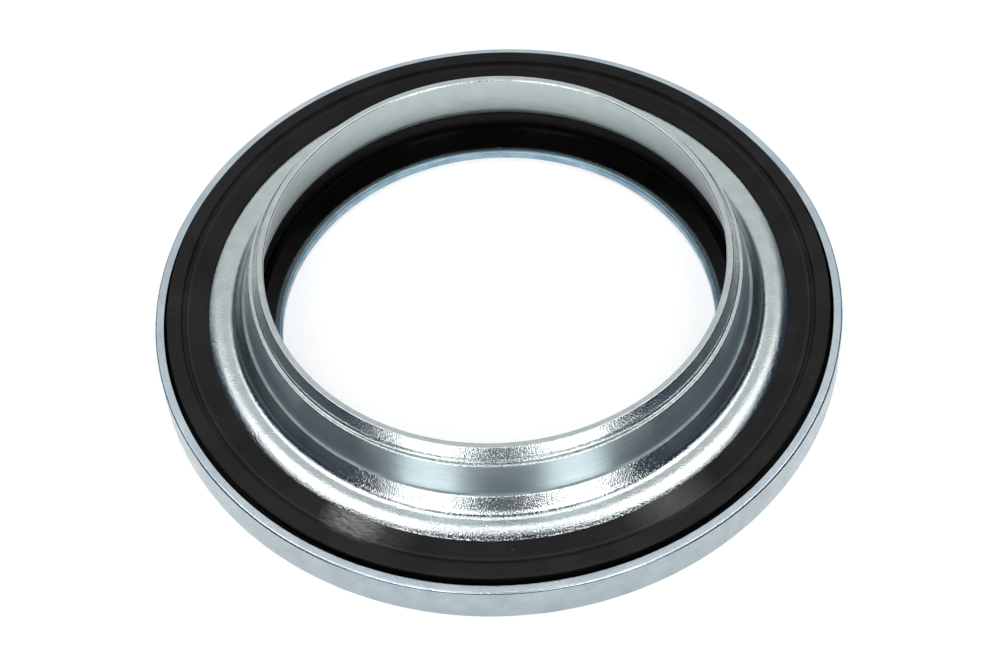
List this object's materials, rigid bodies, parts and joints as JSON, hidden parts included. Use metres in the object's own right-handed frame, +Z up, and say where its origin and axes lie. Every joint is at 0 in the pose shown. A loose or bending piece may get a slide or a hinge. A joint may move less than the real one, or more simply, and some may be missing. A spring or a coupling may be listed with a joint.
{
  "type": "strut mount bearing",
  "caption": "Flat ring bearing for a suspension strut's top mount: pressed-steel cup and collared race turning on caged balls, with black rubber seals.",
  "frame": {"origin": "centre of the base ring's underside, on the axis of rotation", "axes": "+Z up along the axis of rotation, towards the collar; X and Y are equal"},
  "size_m": [0.118, 0.118, 0.0205],
  "materials": {
    "zinc_steel": "zinc-plated pressed steel, fine orange-peel grain",
    "seal_rubber": "matte moulded rubber with dust and scuffs",
    "gloss_rubber": "glossy moulded rubber",
    "cage_plastic": "matte moulded polyamide",
    "ball_steel": "ground and polished bearing steel"
  },
  "bodies": {
    "lower_ring": {"lower_cup": "zinc_steel", "inner_seal": "gloss_rubber"},
    "upper_ring": {"upper_race": "zinc_steel", "outer_seal": "seal_rubber"},
    "ball_set": {"ball_cage": "cage_plastic", "ball_01": "ball_steel", "ball_02": "ball_steel", "ball_03": "ball_steel", "ball_04": "ball_steel", "ball_05": "ball_steel", "ball_06": "ball_steel", "ball_07": "ball_steel", "ball_08": "ball_steel", "ball_09": "ball_steel", "ball_10": "ball_steel", "ball_11": "ball_steel", "ball_12": "ball_steel", "ball_13": "ball_steel", "ball_14": "ball_steel", "ball_15": "ball_steel", "ball_16": "ball_steel", "ball_17": "ball_steel", "ball_18": "ball_steel", "ball_19": "ball_steel", "ball_20": "ball_steel", "ball_21": "ball_steel", "ball_22": "ball_steel", "ball_23": "ball_steel", "ball_24": "ball_steel", "ball_25": "ball_steel", "ball_26": "ball_steel", "ball_27": "ball_steel", "ball_28": "ball_steel", "ball_29": "ball_steel", "ball_30": "ball_steel", "ball_31": "ball_steel", "ball_32": "ball_steel", "ball_33": "ball_steel", "ball_34": "ball_steel", "ball_35": "ball_steel", "ball_36": "ball_steel", "ball_37": "ball_steel", "ball_38": "ball_steel", "ball_39": "ball_steel", "ball_40": "ball_steel"}
  },
  "joints": [
    {"name": "upper_spin", "type": "hinge", "parent": "lower_ring", "child": "upper_ring", "pos_m": [0, 0, 0], "axis": [0, 0, 1], "continuous": true},
    {"name": "cage_spin", "type": "hinge", "parent": "lower_ring", "child": "ball_set", "pos_m": [0, 0, 0], "axis": [0, 0, 1], "continuous": true}
  ],
  "couplings": [
    {"joint": "cage_spin", "follows": "upper_spin", "ratio": 0.5}
  ]
}
